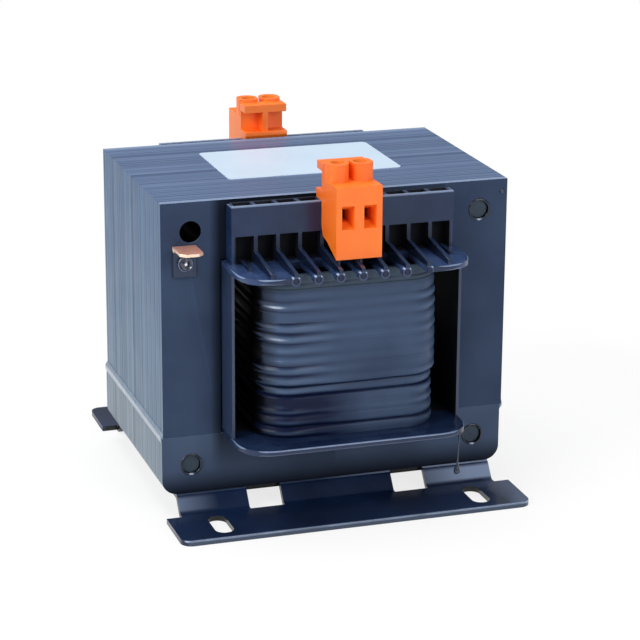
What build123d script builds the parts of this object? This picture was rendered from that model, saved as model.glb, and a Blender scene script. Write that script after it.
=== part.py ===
from build123d import *
from math import atan2, pi, sin, tan
import os

# All sizes in millimetres. X runs along the front face, Y to the back, Z up, ground at zero.

# Laminated core, E sheets above and I sheets below
LEG_W = 32.0  # centre leg
SIDE_LEG_W = 16.0
WINDOW_W = 16.0
WINDOW_H = 48.0
TOP_YOKE_H = 16.0
I_BAR_H = 16.0
STACK = 64.0  # depth of the pressed stack
I_SHIFT = 0.4  # the I sheets sit this far to the left
I_CHAMFER = 2.4  # lower corners of the I sheets
HOLE_D = 5.8
HOLE_INSET = 8.0  # hole centre from the two nearest edges
SEAM_W = 3.0  # seam along the joint on both sides
SEAM_PROUD = 0.3
PIN_PLAY = 0.3  # all round, in the corner holes
PIN_SINK = 0.5  # pin end below the face

# Folded sheet feet
SHEET = 1.5
FOOT_DROP = 4.5  # from the upper to the lower fold
FOOT_SLOPE = 3.5  # run of the sloping web
FOOT_LAP = 15.0  # under the core
FOOT_REACH = 22.2  # past the core face
FOOT_OVERHANG = 0.7  # past the core on both sides
FOOT_WEB_INSET = 3.5  # web shorter than the core at both ends
FOOT_CORNER_R = 3.0
FOLD_R = 0.8  # inside the folds
EAR_GAP = 1.8  # from the foot of the slope to the wide part
SLOT_W = 5.0
SLOT_L = 12.0
SLOT_INSET = 12.7  # slot centre from the end of the foot
SLOT_REACH = 13.0  # slot centre past the core face
FOOT_WINDOW_W = 9.5
FOOT_WINDOW_X = 20.5
FOOT_WINDOW_LIP = 1.2  # cut beyond both ends of the slope
FOOT_WELD = 1.5
FOOT_WELD_L = 8.0
FOOT_WELD_PITCH = 30.0

# Moulded bobbin
BOBBIN_PLAY = 0.3  # to the core all round
TUBE_WALL = 1.2
FLANGE = 1.5
FLANGE_REACH = 21.5  # past the core face
FLANGE_R = 9.0
NOTCH_REACH = 7.0  # the upper flange is cut away from here outwards
POCKETS = 10
POCKET_PITCH = 6.0
RIB = 1.0
CARRIER_REACH = 5.5  # past the core face
CARRIER_DROP = 0.8  # below the top of the core
CARRIER_R = 1.5
BACK_WALL = 0.8
FRONT_WALL = 1.2
FRONT_WALL_H = 8.0
RIB_KNEE = 3.4  # rib above the flange at the wall
RIB_TIP = 1.3  # and at the flange edge
FREE_FINGERS = 3  # ribs each side of the middle whose ends are reached by the notch
WING_RIB_INSET = 1.0  # the next rib stops short of the edge
KNOB_D = 2.6
KNOB_L = 2.6
KNOB_DIMPLE_D = 1.2
KNOB_DIMPLE = 0.4
KNOB_RISE = 0.6  # knob centre above the underside of the flange
STOP_RIB_X = 27.5
STOP_RIB_L = 8.0
STOP_RIB_H = 1.0

# Insulation at the sides of the windows
LINER = 0.8
LINER_REACH = 9.5  # past the core face

# Windings
LAYER_GAP = 0.1
WIND_R = 2.0  # corner of the innermost turn
PRIMARY_X = 3.3  # build on the flat sides
PRIMARY_Y = 5.3  # build at the front and back
PRIMARY_R = 2.8  # growth of the corner, which packs tighter than the flats
INSULATION = 0.5
SECONDARY_X = 2.0
SECONDARY_Y = 4.8
SECONDARY_R = 2.6
WRAP = 1.2
TURNS = 14  # outer turns that show through the film
PLAIN_BAND = 4.14  # film above the topmost turn
TURN_BEVEL = 0.5
BELLY_X = 0.3  # the outer turns stand out at mid height
BELLY_Y = 1.2
STEP_TURNS = 5  # turns below the step in the winding
STEP = 0.9
LEAD_D = 1.4
LEAD_SLOT_W = 2.0
LEAD_SLOT_H = 2.4
LEAD_REACH = 10.3  # rising part of a lead past the core face
LEAD_RISE = 3.2  # of its first bend above the upper flange
LEAD_CLIMB = 1.5  # of the run towards the pocket

# Two-pole clamp block
BLOCK_W = 12.4
BLOCK_D = 12.3  # outwards from the carrier wall
BLOCK_SHOULDER = 6.2  # above the carrier
BLOCK_TOP = 10.0
BLOCK_NOSE = 12.8  # front edge below the carrier top
BLOCK_HEEL = 9.8
BLOCK_HEEL_D = 4.6
BLOCK_TOE = 9.1
BLOCK_TOE_D = 1.2
BLOCK_TOE_RISE = 2.4
TOWER_D = 6.8
TOWER_FLAT = 0.6  # between two of its round corners
TOWER_SPLIT = 0.8
TOWER_RIM = 0.8
TOWER_BACK = 1.0
LIP_REACH = 4.0
LIP = 2.1
LEDGE_REACH = 4.9
LEDGE = 2.4
LEDGE_CHAMFER = 1.4
PILLAR_W = 1.6
POLE_X = 3.0
CLAMP_D = 3.3  # clamp axis outwards from the carrier wall
WELL_D = 3.8
WELL_FLOOR = 5.2
CHAMBER_W = 5.0
CHAMBER_D = 4.6
CHAMBER_TOP = 4.7
FUNNEL_W = 3.4
FUNNEL_H = 6.2
FUNNEL_DEPTH = 3.0
FUNNEL_DROP = 1.8  # centre below the carrier top
WIRE_HOLE_W = 2.3
WIRE_HOLE_H = 3.3

# Clamp inside the block
CLAMP_PLAY = 0.2
STRIP = 0.8
STRIP_W = 2.4
STRIP_RISE = 1.0  # above the carrier top
STRIP_REACH = 3.0  # pocket leg past the core face
STRIP_DROP = 7.2  # pocket leg below the carrier top
STRIP_FRONT = 5.0
CAGE_W = 4.4
CAGE_D = 4.0
CAGE_WALL = 0.8
CAGE_TOP = 1.6
CAGE_H = 9.4
CAGE_HEADROOM = 0.3
SCREW_D = 2.6
SCREW_HEAD_D = 3.4
SCREW_HEAD = 2.0
SCREW_SLOT_W = 0.7
SCREW_SLOT = 0.9

# Earth tab, rivet and label
TAB_W = 6.3
TAB_T = 0.8
TAB_INSET = 6.3  # tab centre from the left edge of the core
TAB_H = 8.4
TAB_BLADE = 8.0
TAB_TIP = 1.4
TAB_UNDER_TOP = 11.5  # blade below the top of the core
RIVET_DROP = 4.6  # rivet below the blade
RIVET_D = 2.9
RIVET_PLAY = 0.1
RIVET_HEAD_D = 4.3
RIVET_HEAD = 1.0
RIVET_HEAD_BEVEL = 0.4
RIVET_L = 6.0
LABEL_W = 49.0
LABEL_D = 31.4
LABEL_T = 0.15
LABEL_R = 1.5
LABEL_X = 0.5
LABEL_Y = 3.2

# Places that follow from the sizes
CORE_W = LEG_W + 2 * WINDOW_W + 2 * SIDE_LEG_W
FACE = STACK / 2
CORE_Z = SHEET + FOOT_DROP
JOINT_Z = CORE_Z + I_BAR_H
WINDOW_TOP = JOINT_Z + WINDOW_H
CORE_TOP = WINDOW_TOP + TOP_YOKE_H
TAB_X = TAB_INSET - CORE_W / 2
FOOT_W = CORE_W + 2 * FOOT_OVERHANG
FOOT_WEB_W = CORE_W - 2 * FOOT_WEB_INSET
SLOT_X = FOOT_W / 2 - SLOT_INSET
HOLE_X = CORE_W / 2 - HOLE_INSET
UPPER_HOLE_Z = CORE_TOP - HOLE_INSET
LOWER_HOLE_Z = CORE_Z + HOLE_INSET
FLANGE_HALF_W = LEG_W / 2 + WINDOW_W - BOBBIN_PLAY
FLANGE_EDGE = FACE + FLANGE_REACH
FLANGE_TOP = WINDOW_TOP - BOBBIN_PLAY
COIL_BOTTOM = JOINT_Z + FLANGE
COIL_TOP = FLANGE_TOP - FLANGE
TUBE_X = LEG_W / 2 + BOBBIN_PLAY + TUBE_WALL
TUBE_Y = FACE + BOBBIN_PLAY + TUBE_WALL
CARRIER_TOP = CORE_TOP - CARRIER_DROP
CARRIER_BACK = FACE + BOBBIN_PLAY
CARRIER_FACE = FACE + CARRIER_REACH
CARRIER_HALF_W = (POCKETS * POCKET_PITCH + RIB) / 2
STRIP_Z = CARRIER_TOP + STRIP_RISE
TURN_PITCH = (COIL_TOP - COIL_BOTTOM - PLAIN_BAND) / TURNS


def turned(part):
    return Rot(0, 0, 180) * part


def slab(x0, x1, y0, y1, z0, z1):
    centre = Pos((x0 + x1) / 2, (y0 + y1) / 2, (z0 + z1) / 2)
    return centre * Box(abs(x1 - x0), abs(y1 - y0), abs(z1 - z0))


# The corners of a side profile that lie at the given points
def near(outline, *points):
    corners = outline.vertices()
    return [corners.sort_by_distance(Vector(-y, z, 0))[0] for y, z in points]


# A side profile, its points given outwards from the middle and up, drawn along X about a centre
def side_prism(points, width, x=0.0):
    outline = make_face(Polyline([(-y, z) for y, z in points], close=True))
    return extrude(Plane.YZ.offset(x) * outline, width / 2, both=True)


# Core

def core_e_stack():
    height = WINDOW_H + TOP_YOKE_H
    sheet = Pos(0, JOINT_Z + height / 2) * Rectangle(CORE_W, height)
    for side in (-1, 1):
        window_x = side * (LEG_W + WINDOW_W) / 2
        sheet -= Pos(window_x, JOINT_Z + WINDOW_H / 2) * Rectangle(WINDOW_W, WINDOW_H)
        sheet -= Pos(side * HOLE_X, UPPER_HOLE_Z) * Circle(HOLE_D / 2)
    stack = extrude(Plane.XZ * sheet, FACE, both=True)
    rivet_z = CORE_TOP - TAB_UNDER_TOP - RIVET_DROP
    return stack - rivet_rod(TAB_X, rivet_z, RIVET_D / 2 + RIVET_PLAY, RIVET_L + RIVET_PLAY)


def rivet_rod(x, z, radius, length):
    return extrude(Plane.XZ.offset(FACE) * Pos(x, z) * Circle(radius), -length)


def core_i_stack():
    bar = Pos(-I_SHIFT, CORE_Z + I_BAR_H / 2) * Rectangle(CORE_W, I_BAR_H)
    bar = chamfer(bar.vertices().group_by(Axis.Y)[0], I_CHAMFER)
    for side in (-1, 1):
        bar -= Pos(side * HOLE_X - I_SHIFT, LOWER_HOLE_Z) * Circle(HOLE_D / 2)
    return extrude(Plane.XZ * bar, FACE, both=True)


# The seams bridge the step between the E sheets and the shifted I sheets
def core_weld_seams():
    low, high = JOINT_Z - SEAM_W / 2, JOINT_Z + SEAM_W / 2
    seams = []
    for side in (-1, 1):
        e_face = side * CORE_W / 2
        i_face = e_face - I_SHIFT
        crest = side * max(abs(e_face), abs(i_face)) + side * SEAM_PROUD
        points = [(i_face, low), (crest, JOINT_Z - SEAM_W / 6), (crest, JOINT_Z + SEAM_W / 6)]
        points += [(e_face, high), (e_face, JOINT_Z), (i_face, JOINT_Z)]
        outline = make_face(Polyline(points, close=True))
        seams.append(extrude(Plane.XZ * outline, FACE, both=True))
    return seams


def corner_pins():
    places = [(HOLE_X, UPPER_HOLE_Z), (HOLE_X - I_SHIFT, LOWER_HOLE_Z), (-HOLE_X - I_SHIFT, LOWER_HOLE_Z)]
    disc = Circle(HOLE_D / 2 - PIN_PLAY)
    return [extrude(Plane.XZ * Pos(x, z) * disc, FACE - PIN_SINK, both=True) for x, z in places]


# Feet

def foot():
    bend = atan2(FOOT_DROP, FOOT_SLOPE)
    mitre = SHEET * tan(bend / 2)
    knee = FACE + FOOT_SLOPE
    points = [(FACE - FOOT_LAP, CORE_Z), (FACE, CORE_Z), (knee, SHEET), (FACE + FOOT_REACH, SHEET)]
    points += [(FACE + FOOT_REACH, 0), (knee - mitre, 0), (FACE - mitre, CORE_Z - SHEET)]
    points += [(FACE - FOOT_LAP, CORE_Z - SHEET)]
    outline = make_face(Polyline([(-y, z) for y, z in points], close=True))
    outline = fillet(near(outline, (FACE, CORE_Z), (knee - mitre, 0)), FOLD_R + SHEET)
    outline = fillet(near(outline, (knee, SHEET), (FACE - mitre, CORE_Z - SHEET)), FOLD_R)
    web = extrude(Plane.YZ * outline, FOOT_WEB_W / 2, both=True)
    ear_back = knee + EAR_GAP
    ear_d = FACE + FOOT_REACH - ear_back
    plate = Pos(0, -ear_back - ear_d / 2) * Rectangle(FOOT_W, ear_d)
    plate = fillet(plate.vertices().group_by(Axis.Y)[0], FOOT_CORNER_R)
    body = web + extrude(plate, SHEET)
    body -= [Pos(side * SLOT_X, -FACE - SLOT_REACH) * foot_slot() for side in (-1, 1)]
    return body - [foot_window(side * FOOT_WINDOW_X, knee) for side in (-1, 1)]


def foot_slot():
    return extrude(Rot(0, 0, 90) * SlotOverall(SLOT_L, SLOT_W), SHEET)


def foot_window(x, knee):
    half = FOOT_WINDOW_W / 2
    return slab(x - half, x + half, FOOT_WINDOW_LIP - FACE, -knee - FOOT_WINDOW_LIP, 0, CORE_Z)


def foot_welds():
    lap = FACE - FOOT_LAP
    bead = side_prism([(lap, CORE_Z), (lap, CORE_Z - FOOT_WELD), (lap - FOOT_WELD, CORE_Z)], FOOT_WELD_L)
    row = [Pos(place * FOOT_WELD_PITCH, 0, 0) * bead for place in (-1, 0, 1)]
    return row + [turned(bead) for bead in row]


# Bobbin with a row of terminal pockets at the front and the back

def flange(bottom, top):
    plate = RectangleRounded(2 * FLANGE_HALF_W, 2 * FLANGE_EDGE, FLANGE_R)
    return extrude(Pos(0, 0, bottom) * plate, top - bottom)


def pocket_rib(x, reach, tip):
    points = [(CARRIER_BACK, COIL_TOP), (CARRIER_BACK, CARRIER_TOP), (CARRIER_FACE, CARRIER_TOP)]
    points += [(CARRIER_FACE, FLANGE_TOP + RIB_KNEE), (reach, FLANGE_TOP + tip), (reach, COIL_TOP)]
    return side_prism(points, RIB, x)


def end_wall(x):
    wall = slab(x - RIB / 2, x + RIB / 2, -CARRIER_BACK, -CARRIER_FACE, COIL_TOP, CARRIER_TOP)
    corner = wall.edges().filter_by(Axis.X).group_by(Axis.Z)[-1].sort_by(Axis.Y)[-1]
    return fillet(corner, CARRIER_R)


def knob(x):
    centre = Plane.XZ.offset(FLANGE_EDGE) * Pos(x, COIL_TOP + KNOB_RISE)
    body = extrude(centre * Circle(KNOB_D / 2), -KNOB_L)
    return body - extrude(centre * Circle(KNOB_DIMPLE_D / 2), -KNOB_DIMPLE)


def pocket_carrier():
    half = CARRIER_HALF_W
    inner = half - RIB
    parts = [slab(-inner, inner, -CARRIER_BACK, -CARRIER_BACK - BACK_WALL, COIL_TOP, CARRIER_TOP)]
    wall_foot = CARRIER_TOP - FRONT_WALL_H
    parts += [slab(-half, half, -CARRIER_FACE + FRONT_WALL, -CARRIER_FACE, wall_foot, CARRIER_TOP)]
    parts += [end_wall(side * (half - RIB / 2)) for side in (-1, 1)]
    outermost = POCKETS // 2 - 1
    for place in range(-outermost, outermost + 1):
        on_wing = abs(place) > FREE_FINGERS
        reach = FLANGE_EDGE - WING_RIB_INSET if on_wing else FLANGE_EDGE
        parts.append(pocket_rib(place * POCKET_PITCH, reach, RIB_TIP))
    parts += [knob(place * POCKET_PITCH) for place in range(-FREE_FINGERS, FREE_FINGERS)]
    for side in (-1, 1):
        x = side * STOP_RIB_X
        start = FRONT_WALL - CARRIER_FACE
        ridge = slab(-RIB / 2, RIB / 2, start, start - STOP_RIB_L, FLANGE_TOP, FLANGE_TOP + STOP_RIB_H)
        parts.append(Pos(x, 0, 0) * ridge)
    return parts


def flange_notch():
    half = FREE_FINGERS * POCKET_PITCH
    return slab(-half, half, -FACE - NOTCH_REACH, -FLANGE_EDGE - FLANGE, COIL_TOP, FLANGE_TOP)


def bobbin():
    tube = RectangleRounded(2 * TUBE_X, 2 * TUBE_Y, WIND_R - LAYER_GAP)
    body = extrude(Pos(0, 0, JOINT_Z) * tube, FLANGE_TOP - JOINT_Z)
    body += flange(JOINT_Z, COIL_BOTTOM)
    body += flange(COIL_TOP, FLANGE_TOP) - [flange_notch(), turned(flange_notch())]
    bore = Rectangle(LEG_W + 2 * BOBBIN_PLAY, STACK + 2 * BOBBIN_PLAY)
    body -= extrude(Pos(0, 0, JOINT_Z) * bore, FLANGE_TOP - JOINT_Z)
    front = pocket_carrier()
    return body + front + [turned(piece) for piece in front]


def window_liner(side):
    outer = side * FLANGE_HALF_W
    inner = side * (FLANGE_HALF_W - LINER)
    reach = FACE + LINER_REACH
    return slab(inner, outer, -reach, reach, COIL_BOTTOM, COIL_TOP)


# Windings, each layer a closed sleeve round the one inside it

def sleeve(x_in, y_in, r_in, x_build, y_build, r_build):
    outer = RectangleRounded(2 * (x_in + x_build), 2 * (y_in + y_build), r_in + r_build)
    inner = RectangleRounded(2 * x_in, 2 * y_in, r_in)
    return extrude(Pos(0, 0, COIL_BOTTOM) * (outer - inner), WIND_TOP - COIL_BOTTOM)


WIND_TOP = COIL_TOP - LAYER_GAP
PRIMARY_IN_X = TUBE_X + LAYER_GAP
PRIMARY_IN_Y = TUBE_Y + LAYER_GAP
SLEEVE_IN_X = PRIMARY_IN_X + PRIMARY_X + LAYER_GAP
SLEEVE_IN_Y = PRIMARY_IN_Y + PRIMARY_Y + LAYER_GAP
SLEEVE_IN_R = WIND_R + PRIMARY_R + LAYER_GAP
SECONDARY_IN_X = SLEEVE_IN_X + INSULATION + LAYER_GAP
SECONDARY_IN_Y = SLEEVE_IN_Y + INSULATION + LAYER_GAP
SECONDARY_IN_R = SLEEVE_IN_R + INSULATION + LAYER_GAP
WRAP_IN_X = SECONDARY_IN_X + SECONDARY_X + LAYER_GAP
WRAP_IN_Y = SECONDARY_IN_Y + SECONDARY_Y + LAYER_GAP
WRAP_IN_R = SECONDARY_IN_R + SECONDARY_R + LAYER_GAP


# The primary ends leave over the layers round it, in slots at the back
def lead_slots():
    start = SLEEVE_IN_Y - LAYER_GAP
    end = FACE + LEAD_REACH + LEAD_SLOT_W / 2
    half = LEAD_SLOT_W / 2
    floor = WIND_TOP - LEAD_SLOT_H
    return [slab(x - half, x + half, start, end, floor, WIND_TOP) for x in (-POLE_X, POLE_X)]


def primary_winding():
    return sleeve(PRIMARY_IN_X, PRIMARY_IN_Y, WIND_R, PRIMARY_X, PRIMARY_Y, PRIMARY_R)


def interlayer_insulation():
    layer = sleeve(SLEEVE_IN_X, SLEEVE_IN_Y, SLEEVE_IN_R, INSULATION, INSULATION, INSULATION)
    return layer - lead_slots()


def secondary_winding():
    build = (SECONDARY_X, SECONDARY_Y, SECONDARY_R)
    return sleeve(SECONDARY_IN_X, SECONDARY_IN_Y, SECONDARY_IN_R, *build) - lead_slots()


def wrap_turn(turn):
    bulge = sin(pi * (turn + 0.5) / TURNS)
    recess = STEP * (turn + 1) / STEP_TURNS if turn < STEP_TURNS else 0.0
    build = WRAP + TURN_BEVEL - recess
    width = 2 * (WRAP_IN_X + build + BELLY_X * bulge)
    depth = 2 * (WRAP_IN_Y + build + BELLY_Y * bulge)
    plate = RectangleRounded(width, depth, WRAP_IN_R + build)
    ring = extrude(Pos(0, 0, COIL_BOTTOM + turn * TURN_PITCH) * plate, TURN_PITCH)
    rims = ring.edges().group_by(Axis.Z)
    return chamfer(rims[0] + rims[-1], TURN_BEVEL)


def coil_wrap():
    band_z = COIL_BOTTOM + TURNS * TURN_PITCH
    plate = RectangleRounded(2 * (WRAP_IN_X + WRAP), 2 * (WRAP_IN_Y + WRAP), WRAP_IN_R + WRAP)
    body = extrude(Pos(0, 0, band_z) * plate, WIND_TOP - band_z)
    body += [wrap_turn(turn) for turn in range(TURNS)]
    inner = RectangleRounded(2 * WRAP_IN_X, 2 * WRAP_IN_Y, WRAP_IN_R)
    return body - extrude(Pos(0, 0, COIL_BOTTOM) * inner, WIND_TOP - COIL_BOTTOM)


# Leads rise through the notch and end in a pocket, against the contact strip

def lead(points, x):
    path = Polyline([(x, -y, z) for y, z in points])
    section = Plane(origin=path @ 0, z_dir=path % 0) * Circle(LEAD_D / 2)
    return sweep(section, path, transition=Transition.RIGHT)


def lead_route(start):
    rise = FACE + LEAD_REACH
    pocket = FACE + STRIP_REACH
    bend_z = FLANGE_TOP + LEAD_RISE
    end_z = CARRIER_TOP - STRIP_DROP
    return start + [(rise, bend_z), (pocket, bend_z + LEAD_CLIMB), (pocket, end_z)]


def secondary_leads():
    route = lead_route([(FACE + LEAD_REACH, WIND_TOP)])
    return [lead(route, x) for x in (-POLE_X, POLE_X)]


def primary_leads():
    level = WIND_TOP - LEAD_SLOT_H / 2
    route = lead_route([(SLEEVE_IN_Y - LAYER_GAP, level), (FACE + LEAD_REACH, level)])
    return [turned(lead(route, x)) for x in (-POLE_X, POLE_X)]


# Clamp block

def block_body():
    face = CARRIER_FACE
    top = CARRIER_TOP
    points = [(face, top + BLOCK_SHOULDER), (face + BLOCK_D, top + BLOCK_SHOULDER)]
    points += [(face + BLOCK_D, top - BLOCK_NOSE), (face + BLOCK_HEEL_D, top - BLOCK_HEEL)]
    points += [(face + BLOCK_TOE_D, top - BLOCK_TOE), (face, top - BLOCK_TOE + BLOCK_TOE_RISE)]
    return side_prism(points, BLOCK_W)


def tower(side):
    width = (BLOCK_W - TOWER_SPLIT) / 2
    centre = Pos(side * (TOWER_SPLIT + width) / 2, -CARRIER_FACE - TOWER_D / 2)
    plan = Rectangle(width, TOWER_D)
    plan = fillet(plan.vertices(), (min(width, TOWER_D) - TOWER_FLAT) / 2)
    height = BLOCK_TOP + TOWER_RIM - BLOCK_SHOULDER
    return extrude(Pos(0, 0, CARRIER_TOP + BLOCK_SHOULDER) * centre * plan, height)


def block_hooks():
    half = BLOCK_W / 2
    face = CARRIER_FACE
    top = CARRIER_TOP
    lip = slab(-half, half, -face + LIP_REACH, -face - TOWER_BACK, top + BLOCK_TOP - LIP, top + BLOCK_TOP)
    web = slab(-half, half, -face, -face - TOWER_BACK, top + BLOCK_SHOULDER, top + BLOCK_TOP)
    ledge = [(face, top), (face - LEDGE_REACH + LEDGE_CHAMFER / 2, top)]
    ledge += [(face - LEDGE_REACH, top + LEDGE_CHAMFER), (face - LEDGE_REACH, top + LEDGE)]
    ledge += [(face, top + LEDGE)]
    pillar = slab(-PILLAR_W / 2, PILLAR_W / 2, -face + LIP_REACH, -face, top + LEDGE, top + BLOCK_TOP - LIP)
    return [lip, web, side_prism(ledge, BLOCK_W), pillar]


def wire_funnel(x):
    front = CARRIER_FACE + BLOCK_D
    level = CARRIER_TOP - FUNNEL_DROP
    mouth = Plane.XZ.offset(front) * Pos(x, level) * Rectangle(FUNNEL_W, FUNNEL_H)
    throat = Plane.XZ.offset(front - FUNNEL_DEPTH) * Pos(x, level) * Rectangle(WIRE_HOLE_W, WIRE_HOLE_H)
    through = Plane.XZ.offset(CARRIER_FACE + CLAMP_D) * Pos(x, level) * Rectangle(WIRE_HOLE_W, WIRE_HOLE_H)
    return [loft([mouth, throat]), extrude(through, BLOCK_D - FUNNEL_DEPTH - CLAMP_D)]


def clamp_space(x):
    axis = Pos(x, -CARRIER_FACE - CLAMP_D)
    floor = Pos(0, 0, CARRIER_TOP - BLOCK_NOSE)
    chamber = extrude(floor * axis * Rectangle(CHAMBER_W, CHAMBER_D), BLOCK_NOSE + CHAMBER_TOP)
    well = extrude(Pos(0, 0, CARRIER_TOP + WELL_FLOOR) * axis * Circle(WELL_D / 2), BLOCK_TOP)
    shank = extrude(Pos(0, 0, CARRIER_TOP) * axis * Circle(SCREW_D / 2 + CLAMP_PLAY), BLOCK_TOP)
    return [chamber, well, shank]


def strip_outline(play):
    leg = FACE + STRIP_REACH
    front = CARRIER_FACE + STRIP_FRONT
    top = STRIP_Z + STRIP + play
    half = STRIP / 2 + play
    points = [(front, top), (leg - half, top), (leg - half, CARRIER_TOP - STRIP_DROP)]
    points += [(leg + half, CARRIER_TOP - STRIP_DROP), (leg + half, STRIP_Z - play), (front, STRIP_Z - play)]
    return points


def terminal_housing():
    body = block_body() + [tower(-1), tower(1)] + block_hooks()
    for x in (-POLE_X, POLE_X):
        body -= clamp_space(x) + wire_funnel(x)
        body -= side_prism(strip_outline(CLAMP_PLAY), STRIP_W + 2 * CLAMP_PLAY, x)
    return body


def contact_strips():
    return [side_prism(strip_outline(0), STRIP_W, x) for x in (-POLE_X, POLE_X)]


def clamp_cage(x):
    top = CARRIER_TOP + CHAMBER_TOP - CAGE_HEADROOM
    level = top - CAGE_H / 2
    inner_h = CAGE_H - CAGE_TOP - CAGE_WALL
    inner = Pos(x, top - CAGE_TOP - inner_h / 2) * Rectangle(CAGE_W - 2 * CAGE_WALL, inner_h)
    ring = Pos(x, level) * Rectangle(CAGE_W, CAGE_H) - inner
    body = extrude(Plane.XZ.offset(CARRIER_FACE + CLAMP_D) * ring, CAGE_D / 2, both=True)
    thread = Pos(x, -CARRIER_FACE - CLAMP_D, top - CAGE_TOP) * Circle(SCREW_D / 2 + CLAMP_PLAY / 2)
    return body - extrude(thread, CAGE_TOP)


def clamp_screw(x):
    axis = Pos(x, -CARRIER_FACE - CLAMP_D)
    tip = STRIP_Z + STRIP
    head_z = CARRIER_TOP + WELL_FLOOR + CLAMP_PLAY / 2
    shank = extrude(Pos(0, 0, tip) * axis * Circle(SCREW_D / 2), head_z - tip)
    head = extrude(Pos(0, 0, head_z) * axis * Circle(SCREW_HEAD_D / 2), SCREW_HEAD)
    slot_z = head_z + SCREW_HEAD - SCREW_SLOT
    slot = extrude(Pos(0, 0, slot_z) * axis * Rectangle(SCREW_HEAD_D, SCREW_SLOT_W), SCREW_SLOT)
    return shank + head - slot


def both_poles(make):
    return [make(x) for x in (-POLE_X, POLE_X)]


# Earth tab, rivet and label

def earth_tab():
    top = CORE_TOP - TAB_UNDER_TOP
    blade = Pos(TAB_X, -FACE - (TAB_BLADE + TAB_T) / 2) * Rectangle(TAB_W, TAB_BLADE + TAB_T)
    blade = chamfer(blade.vertices().group_by(Axis.Y)[0], TAB_TIP)
    body = extrude(Pos(0, 0, top - TAB_T) * blade, TAB_T)
    body += slab(TAB_X - TAB_W / 2, TAB_X + TAB_W / 2, -FACE, -FACE - TAB_T, top - TAB_H, top)
    hole = Plane.XZ.offset(FACE) * Pos(TAB_X, top - RIVET_DROP) * Circle(RIVET_D / 2 + RIVET_PLAY)
    return body - extrude(hole, TAB_T)


def earth_rivet():
    z = CORE_TOP - TAB_UNDER_TOP - RIVET_DROP
    shank = Plane.XZ.offset(FACE - RIVET_L) * Pos(TAB_X, z) * Circle(RIVET_D / 2)
    head = extrude(Plane.XZ.offset(FACE + TAB_T) * Pos(TAB_X, z) * Circle(RIVET_HEAD_D / 2), RIVET_HEAD)
    head = chamfer(head.edges().group_by(Axis.Y)[0], RIVET_HEAD_BEVEL)
    return extrude(shank, RIVET_L + TAB_T) + head


def rating_label():
    plate = RectangleRounded(LABEL_W, LABEL_D, LABEL_R)
    return extrude(Pos(LABEL_X, LABEL_Y, CORE_TOP) * plate, LABEL_T)


def write(name, shape):
    body = Compound(children=list(shape)) if isinstance(shape, list) else shape
    export_step(body, f"parts/{name}.step")


os.makedirs("parts", exist_ok=True)

housing = terminal_housing()
screws = both_poles(clamp_screw)
cages = both_poles(clamp_cage)
strips = contact_strips()
front_foot = foot()

write("core_e_stack", core_e_stack())
write("core_i_stack", core_i_stack())
write("core_weld_seams", core_weld_seams())
write("corner_pins", corner_pins())
write("front_foot", front_foot)
write("rear_foot", turned(front_foot))
write("foot_welds", foot_welds())
write("bobbin", bobbin())
write("left_liner", window_liner(-1))
write("right_liner", window_liner(1))
write("primary_winding", primary_winding())
write("interlayer_insulation", interlayer_insulation())
write("secondary_winding", secondary_winding())
write("coil_wrap", coil_wrap())
write("primary_leads", primary_leads())
write("secondary_leads", secondary_leads())
write("front_terminal_housing", housing)
write("rear_terminal_housing", turned(housing))
write("front_terminal_screws", screws)
write("rear_terminal_screws", [turned(piece) for piece in screws])
write("front_clamp_cages", cages)
write("rear_clamp_cages", [turned(piece) for piece in cages])
write("front_contact_strips", strips)
write("rear_contact_strips", [turned(piece) for piece in strips])
write("earth_tab", earth_tab())
write("earth_rivet", earth_rivet())
write("rating_label", rating_label())
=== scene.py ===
from math import cos, exp, pi, radians, sin

import bmesh
import bpy
from mathutils import Matrix, Vector, noise


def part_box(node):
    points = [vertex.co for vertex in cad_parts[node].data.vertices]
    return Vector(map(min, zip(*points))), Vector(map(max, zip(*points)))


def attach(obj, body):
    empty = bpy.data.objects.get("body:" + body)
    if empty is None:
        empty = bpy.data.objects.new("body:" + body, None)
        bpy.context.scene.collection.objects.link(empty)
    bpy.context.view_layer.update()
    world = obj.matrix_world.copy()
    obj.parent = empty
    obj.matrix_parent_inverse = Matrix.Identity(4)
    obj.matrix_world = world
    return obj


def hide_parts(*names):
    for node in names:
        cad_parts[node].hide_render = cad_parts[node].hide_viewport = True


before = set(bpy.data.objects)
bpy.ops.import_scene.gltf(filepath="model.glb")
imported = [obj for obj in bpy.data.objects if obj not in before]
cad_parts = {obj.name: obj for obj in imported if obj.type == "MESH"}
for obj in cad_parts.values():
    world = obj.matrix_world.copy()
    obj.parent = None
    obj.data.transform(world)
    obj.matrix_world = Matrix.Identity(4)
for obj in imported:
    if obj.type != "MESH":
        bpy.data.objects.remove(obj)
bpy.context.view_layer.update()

# The laminated core: E sheets above and I sheets below, pressed together and dipped in varnish.
# The front and the back show one sheet each and the sides and the top the edges of all, with painted
# shade that keeps the broad faces darker than the edges and grows upwards on the sides.
# The dip softens every edge, and rounds off the chamfered lower corners of the I stack.
core_top = 0.086
stack_half = 0.032
core_rounding = 0.00022
window_reach = 0.0474
window_depth = 0.0317
window_foot = 0.0065
window_top = 0.0855
outer_sheets = 0.03005
yoke_corner_x = 0.040
yoke_corner_z = 0.012
yoke_softening = 0.0014
broad_lines = 260
fine_lines = 1100
outer_sheet_highlight_paint = (138, 156, 186)
side_groove_paint = (26, 48, 80)
window_shade_paint = (3, 4, 8)
foot_shade_paint = (12, 18, 32)
liner_shade_paint = (8, 12, 22)


def is_linked(value):
    """True for the output of a node, false for a plain number or paint."""
    return hasattr(value, "is_output")


def add_node(tree, kind, links=(), **settings):
    """A node with its inputs linked or given a value."""
    node = tree.nodes.new(kind)
    for setting, value in settings.items():
        setattr(node, setting, value)
    for socket, value in dict(links).items():
        if is_linked(value):
            tree.links.new(value, node.inputs[socket])
        else:
            node.inputs[socket].default_value = value
    return node


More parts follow.
